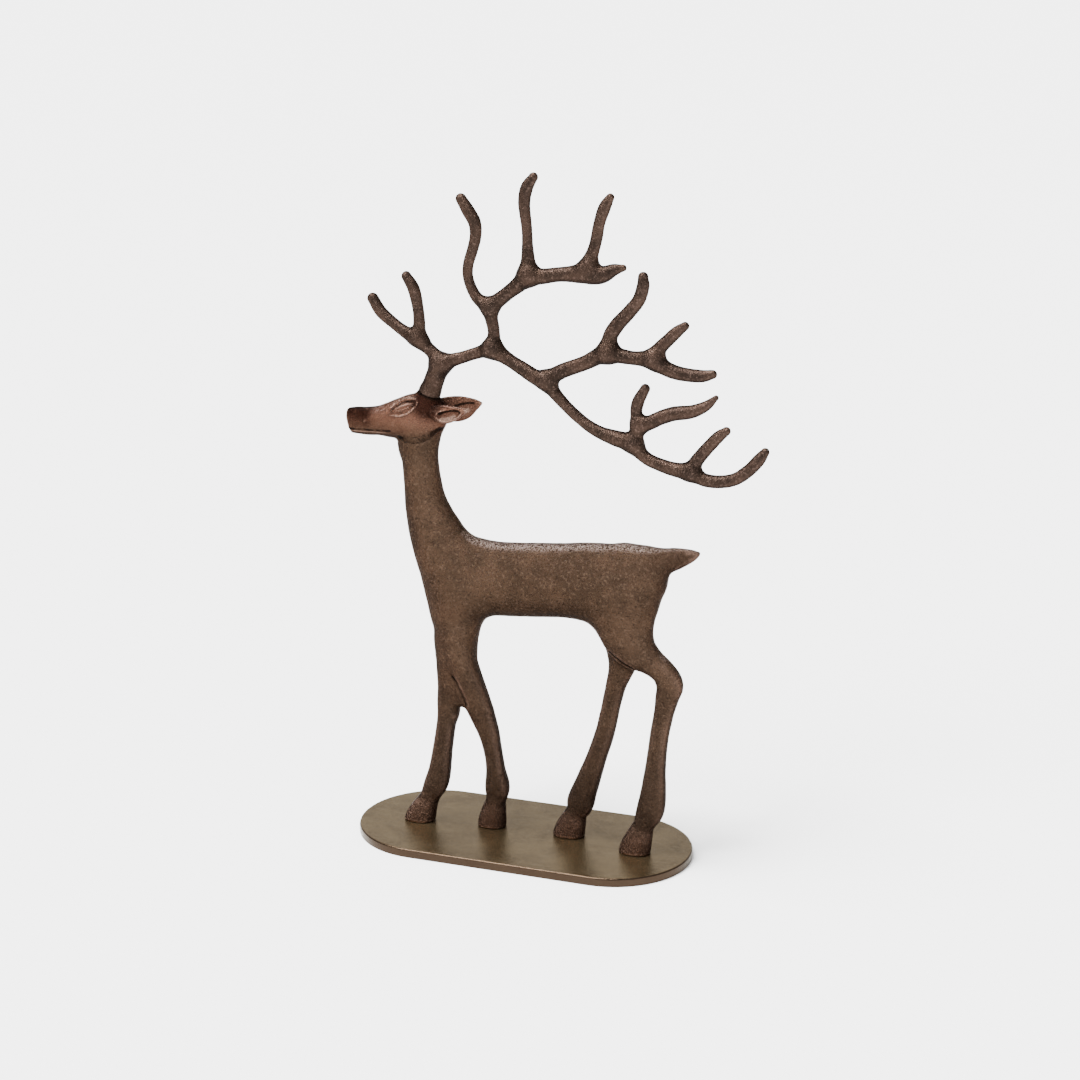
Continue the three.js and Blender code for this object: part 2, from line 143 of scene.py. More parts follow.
HINDLEG_BACK = [
    (16.0, 40.0, 5.3, 2.5, -0.3),
    (16.25, 35.4, 4.35, 2.3, -0.6),
    (17.6, 32.4, 3.35, 2.1, -0.85),
    (20.0, 30.65, 2.15, 1.9, -1.0),
    (22.25, 29.1, 1.77, 1.8, -1.1),
    (23.42, 27.2, 1.98, 1.7, -1.15),
    (23.1, 25.2, 1.75, 1.6, -1.2),
    (22.6, 22.5, 1.48, 1.4, -1.2),
    (21.95, 18.7, 1.4, 1.35, -1.2),
    (21.5, 14.4, 1.51, 1.4, -1.2),
    (21.2, 10.1, 1.88, 1.6, -1.2),
    (20.8, 7.2, 2.1, 1.7, -1.2),
    (20.15, 5.5, 1.75, 1.55, -1.2),
]

# Hooves, from the pastern to the sole

HOOVES = [
    [
        (-14.9, 4.2, 1.4, 1.35, -0.4),
        (-15.7, 2.8, 1.75, 1.6, -0.5),
        (-16.5, 0.9, 2.2, 1.85, -0.6),
        (-16.9, -0.6, 2.45, 1.95, -0.65),
    ],
    [
        (-4.6, 4.3, 1.5, 1.45, 0.6),
        (-4.95, 2.6, 1.85, 1.65, 0.75),
        (-5.3, 0.8, 2.15, 1.85, 0.9),
        (-5.4, -0.6, 2.2, 1.9, 0.95),
    ],
    [
        (8.1, 3.7, 1.65, 1.5, 1.4),
        (7.7, 2.3, 2.0, 1.7, 1.4),
        (7.2, 0.7, 2.35, 1.85, 1.45),
        (7.0, -0.6, 2.5, 1.95, 1.45),
    ],
    [
        (19.7, 4.4, 1.55, 1.45, -1.2),
        (19.2, 2.9, 1.9, 1.65, -1.2),
        (18.6, 0.9, 2.3, 1.85, -1.2),
        (18.3, -0.6, 2.45, 1.95, -1.2),
    ],
]

HEAD = [
    (-14.1, 64.6, 2.2, 1.9),
    (-15.1, 64.2, 3.35, 2.35),
    (-16.9, 63.85, 3.45, 2.6),
    (-18.6, 63.5, 3.12, 2.5),
    (-20.4, 63.2, 2.68, 2.25),
    (-22.4, 62.95, 2.25, 1.95),
    (-24.6, 62.72, 2.1, 1.75),
    (-26.3, 62.7, 2.0, 1.65),
    (-28.6, 62.62, 1.68, 1.5),
]

# The muzzle ends in a flat face, from its upper corner to its lower one, and the lower lip stands back

MUZZLE_FACE = [(-28.0, 64.6), (-27.35, 61.7)]
LIP_FACE = [(-27.1, 61.5), (-26.85, 60.3)]

TAIL = [
    (16.4, 44.9, 2.3, 2.1),
    (18.8, 45.1, 2.1, 1.9),
    (22.2, 45.6, 1.85, 1.5),
    (24.2, 46.15, 1.5, 1.1),
    (25.9, 46.65, 0.95, 0.75),
    (27.0, 47.05, 0.35, 0.4),
]

# The ears, which point back. The far one is fuller and shows behind the near one. The hollow of each faces
# outwards and a little down.

EAR = [
    (-12.9, 65.1, 1.0, 0.9, 1.7),
    (-11.3, 65.1, 1.4, 0.85, 2.35),
    (-10.0, 65.35, 1.2, 0.75, 2.7),
    (-8.8, 65.7, 0.8, 0.55, 2.95),
    (-7.5, 66.1, 0.25, 0.3, 3.1),
]

FAR_EAR = [
    (-12.7, 65.1, 1.7, 0.9, 1.7),
    (-11.3, 65.0, 1.95, 0.85, 2.35),
    (-10.1, 65.2, 1.7, 0.75, 2.7),
    (-8.8, 65.65, 1.0, 0.55, 2.95),
    (-7.6, 65.95, 0.25, 0.3, 3.1),
]

EAR_HOLLOW = [
    (-11.6, 64.9, 0.6, 0.35, 2.95),
    (-10.6, 64.95, 0.85, 0.4, 3.18),
    (-9.4, 65.35, 0.65, 0.4, 3.33),
    (-8.4, 65.75, 0.2, 0.25, 3.42),
]

# Lines cut into the surface, raised on it or only given painted shade or highlight, as (x, z) in the side view

EYE_OUTLINE = [
    (-20.4, 64.7),
    (-18.9, 66.25),
    (-17.3, 66.95),
    (-15.5, 66.75),
    (-16.4, 65.3),
    (-18.1, 64.45),
]

EYE_LID = [
    (-19.7, 64.95),
    (-18.6, 65.95),
    (-17.3, 66.5),
    (-16.1, 66.5),
    (-16.8, 65.65),
    (-18.1, 64.95),
]

EYEBALL = [
    (-19.2, 65.25),
    (-17.9, 65.85),
    (-16.5, 66.3),
]

MOUTH = [
    (-27.2, 61.65),
    (-25.5, 61.65),
    (-23.5, 61.72),
    (-21.3, 61.8),
    (-20.0, 61.9),
]

JAW_CREASE = [
    (-18.6, 61.0),
    (-17.3, 60.7),
    (-15.9, 60.75),
    (-14.6, 61.2),
    (-13.4, 61.95),
    (-12.4, 62.6),
]

MUZZLE_RIDGE = [
    (-24.2, 63.1),
    (-22.3, 63.95),
    (-20.2, 64.7),
]

FORELEG_CREASE = [
    (-10.5, 24.5),
    (-9.9, 23.0),
    (-9.2, 21.7),
    (-8.5, 20.2),
]

EAR_CREASE = [
    (-11.8, 65.2),
    (-10.7, 65.7),
    (-9.5, 66.0),
    (-8.5, 66.05),
]

EAR_LOBE = [
    (-11.5, 64.35),
    (-10.4, 64.55),
    (-9.3, 65.0),
]

MUZZLE_RIM = [
    (-27.75, 64.1),
    (-27.45, 63.0),
    (-27.2, 62.0),
]

SEAT_RIM = [
    (-16.0, 68.0),
    (-14.5, 67.4),
    (-13.0, 66.9),
]

THIGH_CREASE = [
    (14.2, 31.5),
    (15.2, 30.7),
    (17.1, 29.6),
    (18.4, 29.1),
]

STEM = [
    (-13.92, 68.94, 1.54),
    (-13.32, 70.44, 1.49),
    (-12.62, 72.04, 1.49),
]

BEAMS = {
    "front_beam": [
        (-12.62, 71.94, 1.34),
        (-13.62, 73.44, 1.0),
        (-15.08, 74.72, 0.92),
        (-16.12, 75.7, 1.1),
    ],
    "beam": [
        (-12.72, 72.14, 1.34),
        (-10.22, 72.94, 0.96),
        (-7.32, 73.94, 0.88),
        (-4.42, 74.94, 1.1),
    ],
    "up_beam": [
        (-4.5, 74.7, 1.1),
        (-4.22, 77.24, 0.9),
        (-4.62, 79.44, 0.96),
        (-4.75, 80.95, 1.1),
    ],
    "up_right": [
        (-4.82, 80.9, 1.18),
        (-2.22, 82.94, 1.03),
        (-0.22, 84.54, 1.19),
        (1.08, 85.84, 1.39),
    ],
    "top_beam": [
        (0.98, 85.84, 1.34),
        (3.08, 85.74, 1.14),
        (5.78, 86.14, 1.05),
        (8.28, 86.44, 1.24),
        (10.38, 87.44, 1.24),
    ],
    "mid_beam": [
        (-4.52, 74.94, 1.39),
        (-2.02, 73.44, 0.99),
        (0.18, 72.24, 1.04),
        (2.32, 71.05, 1.12),
        (4.0, 70.75, 1.24),
    ],
    "rear_up": [
        (3.98, 70.94, 1.24),
        (6.38, 72.34, 1.09),
        (9.58, 73.64, 1.07),
        (11.78, 74.84, 1.24),
        (13.08, 75.44, 1.39),
    ],
    "rear_beam": [
        (13.08, 75.44, 1.34),
        (15.08, 75.04, 1.08),
        (17.38, 74.84, 1.03),
        (19.98, 74.94, 1.34),
    ],
    "low_beam": [
        (3.7, 70.7, 1.25),
        (5.05, 69.1, 0.95),
        (7.0, 67.12, 0.82),
        (9.6, 65.02, 0.83),
        (11.98, 63.74, 0.93),
        (14.85, 62.95, 1.2),
        (17.18, 62.5, 1.3),
    ],
    "low_fork": [
        (16.8, 62.6, 1.2),
        (17.6, 64.24, 1.0),
        (17.8, 65.3, 1.05),
    ],
    "end_beam": [
        (17.0, 62.4, 1.15),
        (19.05, 60.5, 0.93),
        (21.98, 59.44, 0.98),
        (24.48, 59.04, 1.14),
        (25.7, 58.9, 1.12),
    ],
}

TINES = {
    "brow_low": [
        (-15.6, 75.3, 1.1),
        (-17.52, 76.14, 0.97),
        (-19.62, 77.44, 0.83),
        (-21.92, 79.24, 0.89),
        (-23.15, 81.05, 0.84),
    ],
    "brow_high": [
        (-16.35, 76.0, 1.15),
        (-15.9, 77.74, 0.9),
        (-16.12, 80.44, 0.84),
        (-16.72, 82.94, 0.92),
        (-17.75, 84.6, 0.74),
    ],
    "left_tine": [
        (-4.9, 80.9, 1.05),
        (-6.92, 82.3, 0.83),
        (-8.08, 84.74, 0.77),
        (-8.12, 86.84, 0.78),
        (-7.42, 89.04, 0.82),
        (-6.92, 91.14, 0.86),
        (-7.12, 93.04, 0.94),
        (-8.1, 94.64, 0.94),
        (-9.05, 96.12, 0.78),
    ],
    "mid_tine": [
        (1.18, 85.64, 1.39),
        (1.08, 87.44, 1.09),
        (0.98, 89.84, 0.83),
        (0.86, 92.54, 0.77),
        (0.48, 95.94, 0.88),
        (0.85, 98.1, 0.92),
        (1.78, 99.55, 0.68),
    ],
    "right_tine": [
        (9.9, 87.3, 1.2),
        (10.78, 89.64, 0.9),
        (11.28, 91.44, 0.86),
        (11.68, 93.64, 0.84),
        (12.38, 95.74, 0.9),
        (13.18, 97.14, 0.6),
    ],
    "leaf_tine": [
        (8.9, 86.1, 0.85),
        (10.6, 86.15, 1.2),
        (12.2, 86.4, 1.2),
        (13.8, 87.15, 0.88),
        (15.15, 87.5, 0.5),
    ],
    "rear_tall": [
        (13.18, 75.24, 1.34),
        (13.38, 77.54, 1.08),
        (14.38, 79.34, 1.06),
        (16.18, 81.34, 1.0),
        (17.58, 83.14, 0.94),
        (18.18, 85.04, 0.92),
        (18.18, 86.24, 0.76),
    ],
    "rear_short": [
        (19.88, 74.74, 1.24),
        (20.58, 76.24, 1.02),
        (21.88, 77.64, 0.91),
        (23.18, 78.94, 0.84),
        (24.28, 79.79, 0.62),
    ],
    "rear_flat": [
        (20.08, 74.94, 1.24),
        (20.98, 74.04, 1.14),
        (22.98, 73.24, 1.02),
        (25.08, 72.94, 0.97),
        (27.08, 72.94, 0.88),
        (28.38, 73.24, 0.66),
    ],
    "low_up": [
        (17.8, 65.2, 1.0),
        (17.42, 67.04, 0.88),
        (17.7, 68.64, 0.88),
        (18.62, 70.45, 0.72),
    ],
    "low_blade": [
        (17.8, 65.1, 1.0),
        (19.28, 65.6, 1.05),
        (21.18, 66.6, 1.04),
        (23.18, 67.32, 1.04),
        (25.58, 67.74, 0.96),
        (27.68, 68.74, 0.74),
        (29.05, 69.95, 0.39),
    ],
    "end_up": [
        (25.5, 59.0, 1.15),
        (26.58, 60.84, 0.97),
        (27.98, 62.64, 0.91),
        (29.48, 64.34, 0.86),
        (30.58, 65.24, 0.64),
    ],
    "end_tip": [
        (26.0, 58.8, 1.0),
        (27.68, 58.04, 0.97),
        (29.98, 57.94, 0.93),
        (32.18, 58.54, 0.91),
        (34.08, 59.94, 0.92),
        (35.48, 61.54, 0.9),
        (36.28, 62.64, 0.62),
    ],
}

# The seat that the antler's foot stands on, square to the stem

SEAT = (-14.5, 67.5, 1.7, 1.55)
STEM_LEAN = (0.36, 0.93)
SEAT_GAP = 0.3
BOSS_DEPTH = 2.0
BOSS_SPREAD = 1.25
BOSS_FILLET = 2.5
ANKLE_RISE = 0.5

# The body's forms: stations, fillet with what is there already, in millimetres, and how square the sections
# are, 2 being an ellipse. A fillet can change with the height above the plate, given in rows of the two.

BODY_FORMS = [
    (TRUNK, 0.0, 2.3),
    (NECK, [(36, 12.0), (42, 8.0)], 2.2),
    (TAIL, 7.0, 2.0),
    (FORELEG_FORWARD, 5.0, 2.6),
    (FORELEG_BACK, [(23, 2.0), (28, 5.0)], 2.6),
    (FORELEG_WEB, 6.0, 2.0),
    (HINDLEG_FORWARD, [(27, 3.0), (33, 7.0), (35, 11.0)], 2.4),
    (HINDLEG_BACK, [(29, 6.0), (32, 1.5), (35, 7.0)], 2.4),
    *((hoof, 1.6, 2.4) for hoof in HOOVES),
    (HEAD, 2.6, 2.3),
]

# Relief: a line, closed or not, then the radius of its section, its depth (below 0 where it is raised) and
# its fillet in millimetres

HEAD_RELIEF = [
    (JAW_CREASE, False, 1.8, 2.2, 1.2),
    (MUZZLE_RIDGE, False, 1.8, -0.8, 2.5),
    (EYE_OUTLINE, True, 0.8, -0.8, 0.4),
    (EYE_LID, True, 0.7, 0.9, 0.3),
    (EYEBALL, False, 0.8, -0.5, 0.3),
    (MOUTH, False, 0.9, 1.5, 0.4),
]

BODY_RELIEF = [
    (FORELEG_CREASE, False, 2.0, 0.8, 2.5),
    (THIGH_CREASE, False, 1.4, 1.0, 1.2),
]

# Painted shadow and painted highlight along the lines of the head: closed or not, half width in millimetres,
# and from 0 for dark, painted shadow, to 1 for bright, painted highlight

HEAD_MARKS = [
    (EYE_OUTLINE, True, 0.7, 0.95),
    (EYEBALL, False, 0.5, 0.8),
    (EYE_LID, True, 0.9, 0.0),
    (MOUTH, False, 0.9, 0.0),
    (JAW_CREASE, False, 2.0, 0.1),
    (EAR_LOBE, False, 2.2, 0.85),
    (EAR_CREASE, False, 0.9, 0.0),
    (MUZZLE_RIM, False, 1.3, 0.95),
    (SEAT_RIM, False, 1.4, 0.15),
]

# Roundings, in millimetres

MUZZLE_ROUNDING = 3.2
LIP_ROUNDING = 1.0
EAR_FILLET = 1.6
EAR_LIP = 0.5
ANTLER_FILLET = 4.0

# The sand mould's unevenness: size of the lumps, octaves of noise and height, in millimetres

ANTLER_LUMPS = [(9.0, 2, 0.12), (1.6, 2, 0.06)]
BODY_LUMPS = [(14.0, 2, 0.2), (1.8, 2, 0.07)]

# Values of the modelling

FAR = 50.0
LINE_PARTS = 6
TINE_DEPTH = 0.9
MIN_GIRTH = 0.2
MARGIN = 10.0
CUT_AHEAD = 20.0
CUT_ABOVE = 12.0
ANTLER_POWER = 2.2
TIP_SHARE = 0.2
SKIN_REACH = 26.0
SKIN_STEP = 0.1
# Edges lightened as wear and painted highlight, hollows darkened as painted shade: reach, gain, body's top
WEAR_AND_SHADE_REACH = 1.6
WEAR_AND_SHADE_GAIN = 2.0
WEAR_AND_SHADE_TOP = 0.72
LINE_REACH = 0.8
LINE_GAIN = 3.0
LINE_SPACING = 0.4
MARK_SPACING = 0.3
MARK_FADE = 1.4
SETTLE_PASSES = 3
SETTLE_MOVE = 0.4
LEAST_SLOPE = 0.3
BLOCK_EDGE = 4.0
HEAD_FLOOR = 268.0
HEAD_BACK = -30.0
EYE_REACH = 9.5

# The plate's mesh. Its foot is a small rounding, as (inset, height). Its side and top are slightly uneven, as
# (size of the lumps, depth).

PLATE_EDGE = 1.2
PLATE_ARC_PARTS = 96
PLATE_SIDE_PARTS = 60
PLATE_RINGS = 40
PLATE_SIDE_RINGS = 4
PLATE_EDGE_RINGS = 7
PLATE_FOOT = [(0.5, 0.0), (0.12, 0.12), (0.0, 0.5)]
PLATE_WAVES = (9.0, 0.12)
PLATE_DIPS = (14.0, 0.06)

# The finishes. A tint is the colour of the metal's glancing reflections.

BODY_METAL = 0.92
PLATE_METAL = 0.9
EDGE_TINT = (0.28, 0.24, 0.21, 1.0)
PLATE_TINT = (0.8, 0.78, 0.74, 1.0)
NO_TINT = (1.0, 1.0, 1.0, 1.0)
FLOOR_SHADE = (0.95, 0.96)

# Where a shade of the body begins and where it is full, in metres: the height, or x for the tail and the muzzle

HEAD_SHADE = (0.282, 0.298)
MUZZLE_SHADE = (-0.1015, -0.1105)
LEG_SHADE = (0.17, 0.04)
HOOF_SHADE = (0.030, 0.018)
TAIL_SHADE = (0.085, 0.11)
RUMP_SHADE = (0.19, 0.2)

# The dark spot on the crown: its middle, its reach and how far it fades, in millimetres

CROWN_SPOT = (-64, -8, 309)
CROWN_REACH = 8
CROWN_FADE = 9

# The studio. A lamp is its name, its azimuth, elevation and spread in degrees and its power.

FLOOR = 60.0
WORLD_STRENGTH = 1.1
LAMPS = [("overhead", -60, 72, 30, 12.0), ("key", -35, 38, 25, 4.0)]
CAMERA_AZIMUTH = 19.926
CAMERA_ELEVATION = 15.669
CAMERA_LENS = 70.1
CAMERA_SENSOR = 36.0
CAMERA_BACK = 1.46939
CAMERA_RIGHT = 0.012194
CAMERA_UP = 0.208968
CAMERA_AIM = (-0.001, 0.0, 0.0005)

# Implicit solids: a block of points, and at each the distance to the surface, in millimetres


class Block:
    def __init__(self, low, high, step):
        self.step = step
        self.low = np.array(low, float)
        self.axes = [np.arange(a, b + step, step) for a, b in zip(low, high)]
        self.value = np.full([len(axis) for axis in self.axes], FAR)

    def window(self, low, high):
        """The slices of the block between two corners."""
        spans = []
        for axis, a, b in zip(self.axes, low, high):
            first = int(np.clip(np.searchsorted(axis, a), 0, len(axis)))
            last = int(np.clip(np.searchsorted(axis, b), first, len(axis)))
            spans.append(slice(first, last))
        return tuple(spans)

    def at(self, points):
        """The distance at any points, straight between those of the block."""
        place = (points - self.low) / self.step
        top = np.array(self.value.shape) - 2
        cell = np.clip(np.floor(place).astype(int), 0, top)
        part = np.clip(place - cell, 0, 1)
        total = np.zeros(len(points))
        for corner in np.ndindex(2, 2, 2):
            share = np.prod(np.where(np.array(corner) == 1, part, 1 - part), axis=1)
            i, j, k = (cell + corner).T
            total += share * self.value[i, j, k]
        return total

    def slope(self, points):
        """The direction in which the distance grows, at any points."""
        sides = []
        for axis in np.eye(3) * self.step * 0.5:
            sides.append(self.at(points + axis) - self.at(points - axis))
        return np.stack(sides, 1) / self.step


def smooth_least(a, b, blend):
    """The lesser of two distances, with a fillet of about that size where they meet."""
    near = np.maximum(blend - np.abs(a - b), 0)
    return np.minimum(a, b) - near * near / (4 * np.maximum(blend, 1e-6))


def along_curve(a, b, c, d, t):
    """The place at share t of the way from b to c, on a smooth curve through a, b, c and d."""
    return 0.5 * (2 * b + (c - a) * t + (2 * a - 5 * b + 4 * c - d) * t**2 + (3 * b - a - 3 * c + d) * t**3)


def drawn_line(stations):
    """Rows of (x, z, half width, half depth, y) in millimetres, on a smooth line through the stations."""
    rows = []
    for station in stations:
        x, z, wide = station[:3]
        deep = station[3] if len(station) > 3 else wide * TINE_DEPTH
        y = station[4] if len(station) > 4 else 0.0
        rows.append((x * UNIT - FIGURE_FORWARD, z * UNIT + PLATE_TOP, wide * UNIT, deep * UNIT, y * UNIT))
    rows = np.array(rows)
    padded = np.vstack([2 * rows[0] - rows[1], rows, 2 * rows[-1] - rows[-2]])
    line = []
    for a, b, c, d in zip(padded, padded[1:], padded[2:], padded[3:]):
        for t in np.arange(LINE_PARTS) / LINE_PARTS:
            line.append(along_curve(a, b, c, d, t))
    line.append(rows[-1])
    line = np.array(line)
    line[:, 2:4] = np.maximum(line[:, 2:4], MIN_GIRTH)
    return line


def fillet_at(block, blend, window):
    """A fillet of one size, or of a size that follows rows of (height above the plate, size)."""
    if not isinstance(blend, list):
        return blend
    heights = [PLATE_TOP + height * UNIT for height, _ in blend]
    return np.interp(block.axes[2][window[2]], heights, [size for _, size in blend])


def limb_distance(block, stations, side=1, power=2.0, tip=0.0, flat=None):
    """The window of the block round a limb, and the distance to the limb there. Sections are ellipses for a
    power of 2 and squarer above it. tip lengthens the far end by that share of its half width. flat is the
    end that is cut square."""
    line = drawn_line(stations)
    line[:, 4] *= side
    if tip:
        ahead = line[-1] - line[-2]
        ahead[2:] = 0
        line = np.vstack([line, line[-1] + ahead / np.hypot(*ahead[:2]) * line[-1][2] * tip])
    reach = line[:, 2:4].max() + MARGIN
    low = [line[:, 0].min() - reach, line[:, 4].min() - reach, line[:, 1].min() - reach]
    high = [line[:, 0].max() + reach, line[:, 4].max() + reach, line[:, 1].max() + reach]
    window = block.window(low, high)
    x, y, z = (axis[span] for axis, span in zip(block.axes, window))
    gx, gz = np.meshgrid(x, z, indexing="ij")
    nearest = np.full(gx.shape, FAR)
    away = np.full(gx.shape, FAR)
    girth = np.ones((3,) + gx.shape)
    for a, b in zip(line, line[1:]):
        step = b - a
        length = step[0] ** 2 + step[1] ** 2
        t = np.clip(((gx - a[0]) * step[0] + (gz - a[1]) * step[1]) / max(length, 1e-9), 0, 1)
        gap = np.hypot(gx - a[0] - t * step[0], gz - a[1] - t * step[1])
        wide = a[2] + t * step[2]
        closer = gap - wide < nearest
        nearest = np.where(closer, gap - wide, nearest)
        away = np.where(closer, gap, away)
        for row, column in enumerate((2, 3, 4)):
            girth[row] = np.where(closer, a[column] + t * step[column], girth[row])
    wide, deep, middle = (sheet[:, None, :] for sheet in girth)
    across = np.abs(away[:, None, :]) / wide
    along = np.abs(y[None, :, None] - middle) / deep
    size = np.maximum((across**power + along**power) ** (1 / power), 1e-6)
    steep = np.hypot(across ** (power - 1) / wide, along ** (power - 1) / deep) * size ** (1 - power)
    distance = (size - 1) / np.maximum(steep, 0.5 / np.maximum(wide, deep))
    distance = np.maximum(distance, -np.minimum(wide, deep))
    if flat:
        end, inner = (line[0], line[1]) if flat == "start" else (line[-1], line[-2])
        out = (end[:2] - inner[:2]) / np.hypot(*(end[:2] - inner[:2]))
        beyond = (gx - end[0]) * out[0] + (gz - end[1]) * out[1]
        distance = np.maximum(distance, beyond[:, None, :])
    return window, distance


def join_limb(block, stations, blend, **shape):
    window, distance = limb_distance(block, stations, **shape)
    fillet = fillet_at(block, blend, window)
    block.value[window] = smooth_least(block.value[window], distance, fillet)


def cut_limb(block, stations, blend, **shape):
    window, distance = limb_distance(block, stations, **shape)
    block.value[window] = -smooth_least(-block.value[window], distance, blend)


def cut_face(block, corners, radius):
    """Cuts the solid off square across the side view along a line from its upper corner to its lower one,
    with rounded edges. What lies left of the line goes, from its lower corner up."""
    (ax, az), (bx, bz) = [(x * UNIT - FIGURE_FORWARD, z * UNIT + PLATE_TOP) for x, z in corners]
    low = (min(ax, bx) - CUT_AHEAD, -np.inf, bz - radius)
    high = (max(ax, bx) + radius * 3, np.inf, az + abs(az - bz) + CUT_ABOVE)
    window = block.window(low, high)
    x, _, z = (axis[span] for axis, span in zip(block.axes, window))
    gx, gz = np.meshgrid(x, z, indexing="ij")
    length = math.hypot(bx - ax, bz - az)
    inside = ((gx - ax) * (az - bz) + (gz - az) * (bx - ax)) / length
    value = block.value[window]
    block.value[window] = -smooth_least(-value, inside[:, None, :], radius)


def curve_points(points, closed=False, spacing=LINE_SPACING):
    """Points in the side view, in millimetres, close together on a smooth curve through the given ones."""
    rows = np.array([(x * UNIT - FIGURE_FORWARD, z * UNIT + PLATE_TOP) for x, z in points])
    if closed:
        padded = np.vstack([rows[-1], rows, rows[0], rows[1]])
    else:
        padded = np.vstack([2 * rows[0] - rows[1], rows, 2 * rows[-1] - rows[-2]])
    found = []
    for a, b, c, d in zip(padded, padded[1:], padded[2:], padded[3:]):
        parts = max(int(np.hypot(*(c - b)) / spacing), 1)
        for t in np.arange(parts) / parts:
            found.append(along_curve(a, b, c, d, t))
    if not closed:
        found.append(rows[-1])
    return np.array(found)


def skin(block, places, side):
    """The outermost y of the solid at places in the side view, on the near (-1) or the far side (1)."""
    steps = np.arange(0, SKIN_REACH, SKIN_STEP)
    found = []
    for x, z in places:
        y = side * (SKIN_REACH - steps)
        inside = block.at(np.stack([np.full_like(y, x), y, np.full_like(y, z)], 1)) < 0
        found.append(y[int(np.argmax(inside))] if inside.any() else 0.0)
    smooth = np.convolve(np.pad(found, 2, "edge"), np.ones(5) / 5, "valid")
    return smooth


def line_on_skin(block, points, side, radius, depth, blend, closed):
    """Cuts a groove along a line on the skin, or raises a ridge where depth is below 0. The section is round
    and reaches that far below the skin or above it."""
    places = curve_points(points, closed)
    y = skin(block, places, side)
    sizes = np.full(len(places), float(radius))
    if not closed:
        along = np.linspace(0, 1, len(places))
        sizes *= np.sqrt(np.clip(np.minimum(along, 1 - along) * 5, 0.04, 1))
    sign = 1 if depth > 0 else -1
    centres = np.stack([places[:, 0], y + side * sign * (sizes - abs(depth)), places[:, 1]], 1)
    reach = radius + abs(depth) + blend + block.step
    window = block.window(centres.min(0) - reach, centres.max(0) + reach)
    axes = [axis[span] for axis, span in zip(block.axes, window)]
    if min(len(axis) for axis in axes) == 0:
        return
    grid = np.stack(np.meshgrid(*axes, indexing="ij"), -1)
    nearest = np.full(grid.shape[:3], FAR)
    for centre, size in zip(centres, sizes):
        nearest = np.minimum(nearest, np.linalg.norm(grid - centre, axis=-1) - size)
    if depth > 0:
        block.value[window] = -smooth_least(-block.value[window], nearest, blend)
    else:
        block.value[window] = smooth_least(block.value[window], nearest, blend)


# The castings


def seat_stations():
    """The boss on the crown and the foot of the antler, which face each other across the seam."""
    x, z, wide, deep = SEAT
    lean_x, lean_z = STEM_LEAN
    drop = SEAT_GAP / UNIT
    top = (x - lean_x * drop, z - lean_z * drop)
    root = (top[0] - lean_x * BOSS_DEPTH, top[1] - lean_z * BOSS_DEPTH)
    boss = [(*root, wide * BOSS_SPREAD, deep * BOSS_SPREAD), (*top, wide, deep)]
    foot = [(x, z, wide, deep), (x + lean_x * ANKLE_RISE, z + lean_z * ANKLE_RISE, wide, deep)]
    return boss, foot


def form_antler(block):
    _, foot = seat_stations()
    join_limb(block, foot + STEM, ANTLER_FILLET, flat="start")
    for stations in BEAMS.values():
        join_limb(block, stations, ANTLER_FILLET, power=ANTLER_POWER)
    for stations in TINES.values():
        join_limb(block, stations, ANTLER_FILLET, power=ANTLER_POWER, tip=TIP_SHARE)


def form_reindeer(block, relief, sides):
    """relief is the lines for this block, drawn on the given sides of the animal."""
    for stations, fillet, power in BODY_FORMS:
        join_limb(block, stations, fillet, power=power)
    cut_face(block, MUZZLE_FACE, MUZZLE_ROUNDING)
    cut_face(block, LIP_FACE, LIP_ROUNDING)
    boss, _ = seat_stations()
    join_limb(block, boss, BOSS_FILLET, flat="end")
    for side, stations in ((-1, EAR), (1, FAR_EAR)):
        join_limb(block, stations, EAR_FILLET, side=side)
        cut_limb(block, EAR_HOLLOW, EAR_LIP, side=side)
    soles = PLATE_TOP + SOLE_GAP - block.axes[2][None, None, :]
    block.value = np.maximum(block.value, soles)
    for side in sides:
        for line, closed, radius, depth, fillet in relief:
            line_on_skin(block, line, side, radius, depth, fillet, closed)


# Meshes


def skin_mesh(name, block):
    """A mesh of quads on the surface of the solid in the block."""
    volume = openvdb.FloatGrid(FAR)
    volume.copyFromArray(block.value.astype(np.float32))
    points, triangles, quads = volume.convertToPolygons(isovalue=0.0, adaptivity=0.0)
    mesh = bpy.data.meshes.new(name)
    faces = [tuple(int(i) for i in face[::-1]) for face in quads]
    faces += [tuple(int(i) for i in face[::-1]) for face in triangles]
    mesh.from_pydata((points * block.step + block.low).tolist(), [], faces)
    mesh.update()
    return mesh


def mesh_points(mesh):
    points = np.empty(len(mesh.vertices) * 3)
    mesh.vertices.foreach_get("co", points)
    return points.reshape(-1, 3)


def set_mesh_points(mesh, points):
    mesh.vertices.foreach_set("co", points.ravel())
    mesh.update()


def eye_middle():
    x, z = curve_points(EYE_OUTLINE, closed=True).mean(0)
    return Vector((x, 0, z))


def refine(mesh, chosen):
    """Cuts each edge in two on the faces whose middle is chosen."""
    bm = bmesh.new()
    bm.from_mesh(mesh)
    edges = {}
    for face in bm.faces:
        if chosen(face.calc_center_median()):
            edges.update((edge, True) for edge in face.edges)
    bmesh.ops.subdivide_edges(bm, edges=list(edges), cuts=1, use_grid_fill=True)
    bm.to_mesh(mesh)
    bm.free()


def settle(points, block):
    """Moves points onto the surface, along the slope of the distance."""
    for _ in range(SETTLE_PASSES):
        slope = block.slope(points)
        size = np.maximum(np.linalg.norm(slope, axis=1, keepdims=True), LEAST_SLOPE)
        move = block.at(points)[:, None] * slope / size**2
        points = points - np.clip(move, -SETTLE_MOVE, SETTLE_MOVE)
    return points


def grain(points, scale, octaves, seed):
    """Even noise from -1 to 1 at each point, with lumps of about that many millimetres."""
    shift = Vector((seed * 13.7, seed * 5.3, seed * 9.1))
    return np.array([noise.fractal(Vector(p) / scale + shift, 0.7, 2.0, octaves) for p in points.tolist()])
